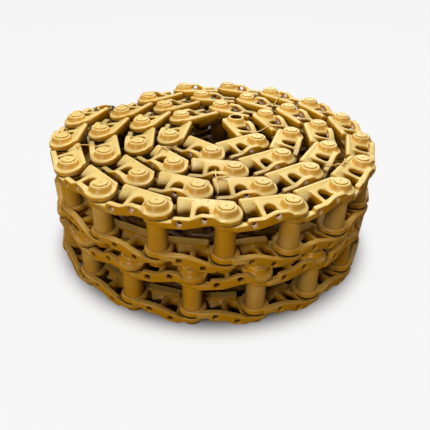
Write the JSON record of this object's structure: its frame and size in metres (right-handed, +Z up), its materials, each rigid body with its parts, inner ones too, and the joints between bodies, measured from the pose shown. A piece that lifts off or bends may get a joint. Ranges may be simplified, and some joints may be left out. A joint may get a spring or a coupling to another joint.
{
  "type": "excavator track chain",
  "caption": "Pair of excavator track chains, each rolled up on its side with pins upright, one coil nested on the other; forged offset links, bushings, pins and dust seals.",
  "frame": {"origin": "middle of the box round both coils, on the floor that the hats of the lower coil stand on", "axes": "+Z up, along the pins; the front link of the upper coil lies along +X, with its shoe face towards -Y"},
  "size_m": [1.0316, 1.0346, 0.3803],
  "materials": {
    "link_paint": "semi-gloss ochre yellow spray paint over forged steel",
    "bushing_paint": "semi-gloss ochre yellow spray paint over ground steel tube",
    "pin_paint": "semi-gloss ochre yellow spray paint over turned steel",
    "seal_rubber": "matt black rubber"
  },
  "bodies": {
    "lower_coil": {"lower_coil_left_links": "link_paint", "lower_coil_right_links": "link_paint", "lower_coil_bushings": "bushing_paint", "lower_coil_pins": "pin_paint", "lower_coil_seals": "seal_rubber"},
    "lower_tail_5": {"lower_tail_5_left_link": "link_paint", "lower_tail_5_right_link": "link_paint", "lower_tail_5_bushing": "bushing_paint", "lower_tail_5_pin": "pin_paint", "lower_tail_5_seals": "seal_rubber"},
    "lower_tail_4": {"lower_tail_4_left_link": "link_paint", "lower_tail_4_right_link": "link_paint", "lower_tail_4_bushing": "bushing_paint", "lower_tail_4_pin": "pin_paint", "lower_tail_4_seals": "seal_rubber"},
    "lower_tail_3": {"lower_tail_3_left_link": "link_paint", "lower_tail_3_right_link": "link_paint", "lower_tail_3_bushing": "bushing_paint", "lower_tail_3_pin": "pin_paint", "lower_tail_3_seals": "seal_rubber"},
    "lower_tail_2": {"lower_tail_2_left_link": "link_paint", "lower_tail_2_right_link": "link_paint", "lower_tail_2_bushing": "bushing_paint", "lower_tail_2_pin": "pin_paint", "lower_tail_2_seals": "seal_rubber"},
    "lower_tail_1": {"lower_tail_1_left_link": "link_paint", "lower_tail_1_right_link": "link_paint", "lower_tail_1_bushing": "bushing_paint", "lower_tail_1_pin": "pin_paint", "lower_tail_1_seals": "seal_rubber"},
    "upper_coil": {"upper_coil_left_links": "link_paint", "upper_coil_right_links": "link_paint", "upper_coil_bushings": "bushing_paint", "upper_coil_pins": "pin_paint", "upper_coil_seals": "seal_rubber"},
    "upper_tail_5": {"upper_tail_5_left_link": "link_paint", "upper_tail_5_right_link": "link_paint", "upper_tail_5_bushing": "bushing_paint", "upper_tail_5_pin": "pin_paint", "upper_tail_5_seals": "seal_rubber"},
    "upper_tail_4": {"upper_tail_4_left_link": "link_paint", "upper_tail_4_right_link": "link_paint", "upper_tail_4_bushing": "bushing_paint", "upper_tail_4_pin": "pin_paint", "upper_tail_4_seals": "seal_rubber"},
    "upper_tail_3": {"upper_tail_3_left_link": "link_paint", "upper_tail_3_right_link": "link_paint", "upper_tail_3_bushing": "bushing_paint", "upper_tail_3_pin": "pin_paint", "upper_tail_3_seals": "seal_rubber"},
    "upper_tail_2": {"upper_tail_2_left_link": "link_paint", "upper_tail_2_right_link": "link_paint", "upper_tail_2_bushing": "bushing_paint", "upper_tail_2_pin": "pin_paint", "upper_tail_2_seals": "seal_rubber"},
    "upper_tail_1": {"upper_tail_1_left_link": "link_paint", "upper_tail_1_right_link": "link_paint", "upper_tail_1_bushing": "bushing_paint", "upper_tail_1_pin": "pin_paint", "upper_tail_1_seals": "seal_rubber"}
  },
  "joints": [
    {"name": "upper_lift", "type": "slide", "parent": "lower_coil", "child": "upper_coil", "axis": [0, 0, 1], "range_m": [0, 0.25]},
    {"name": "lower_tail_5_hinge", "type": "hinge", "parent": "lower_coil", "child": "lower_tail_5", "pos_m": [-0.16777, -0.44527, 0.098], "axis": [0, 0, 1], "range_deg": [0, 26]},
    {"name": "lower_tail_4_hinge", "type": "hinge", "parent": "lower_tail_5", "child": "lower_tail_4", "pos_m": [-0.31743, -0.35457, 0.098], "axis": [0, 0, 1], "range_deg": [0, 26]},
    {"name": "lower_tail_3_hinge", "type": "hinge", "parent": "lower_tail_4", "child": "lower_tail_3", "pos_m": [-0.42417, -0.21589, 0.098], "axis": [0, 0, 1], "range_deg": [0, 26]},
    {"name": "lower_tail_2_hinge", "type": "hinge", "parent": "lower_tail_3", "child": "lower_tail_2", "pos_m": [-0.47355, -0.048, 0.098], "axis": [0, 0, 1], "range_deg": [0, 26]},
    {"name": "lower_tail_1_hinge", "type": "hinge", "parent": "lower_tail_2", "child": "lower_tail_1", "pos_m": [-0.45887, 0.12639, 0.098], "axis": [0, 0, 1], "range_deg": [0, 26]},
    {"name": "upper_tail_5_hinge", "type": "hinge", "parent": "upper_coil", "child": "upper_tail_5", "pos_m": [-0.08775, -0.46762, 0.2823], "axis": [0, 0, 1], "range_deg": [0, 26]},
    {"name": "upper_tail_4_hinge", "type": "hinge", "parent": "upper_tail_5", "child": "upper_tail_4", "pos_m": [-0.25091, -0.40435, 0.2823], "axis": [0, 0, 1], "range_deg": [0, 26]},
    {"name": "upper_tail_3_hinge", "type": "hinge", "parent": "upper_tail_4", "child": "upper_tail_3", "pos_m": [-0.38015, -0.28635, 0.2823], "axis": [0, 0, 1], "range_deg": [0, 26]},
    {"name": "upper_tail_2_hinge", "type": "hinge", "parent": "upper_tail_3", "child": "upper_tail_2", "pos_m": [-0.45798, -0.12961, 0.2823], "axis": [0, 0, 1], "range_deg": [0, 26]},
    {"name": "upper_tail_1_hinge", "type": "hinge", "parent": "upper_tail_2", "child": "upper_tail_1", "pos_m": [-0.47387, 0.04466, 0.2823], "axis": [0, 0, 1], "range_deg": [0, 26]}
  ]
}
